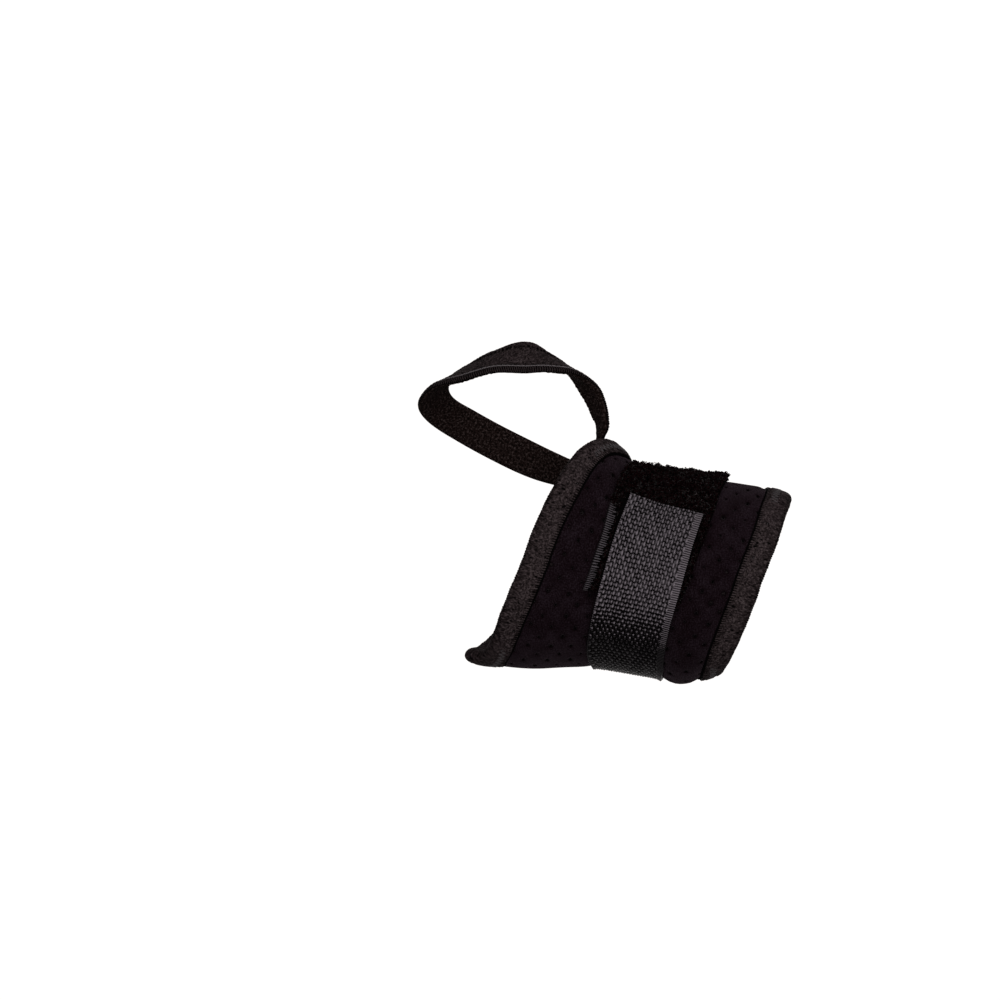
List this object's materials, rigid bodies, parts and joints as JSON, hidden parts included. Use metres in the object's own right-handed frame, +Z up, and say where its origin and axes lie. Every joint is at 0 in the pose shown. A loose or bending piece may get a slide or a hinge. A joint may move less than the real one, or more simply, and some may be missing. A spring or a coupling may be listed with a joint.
{
  "type": "wrist support",
  "caption": "Wrap-around wrist support of perforated neoprene with bound edges, a thumb loop, a pile patch and a woven closure strap.",
  "frame": {"origin": "on the axis of the wrist hollow, below the strap, where the worn support sits on the wrist", "axes": "+X along the hollow from the flared hand end to the forearm end, +Y to the thumb-loop side, +Z up through the pile patch"},
  "size_m": [0.1227, 0.1044, 0.062],
  "materials": {
    "neoprene": "matte knit-faced foam with small punched holes",
    "knit_tape": "heathered knit tape",
    "pile": "deep curly pile",
    "webbing": "woven webbing with a slight sheen"
  },
  "bodies": {
    "root": {"wrist_panel": "neoprene", "front_binding": "knit_tape", "rear_binding": "knit_tape", "pile_patch": "pile", "closure_strap": "webbing", "thumb_loop": "knit_tape"}
  },
  "joints": []
}
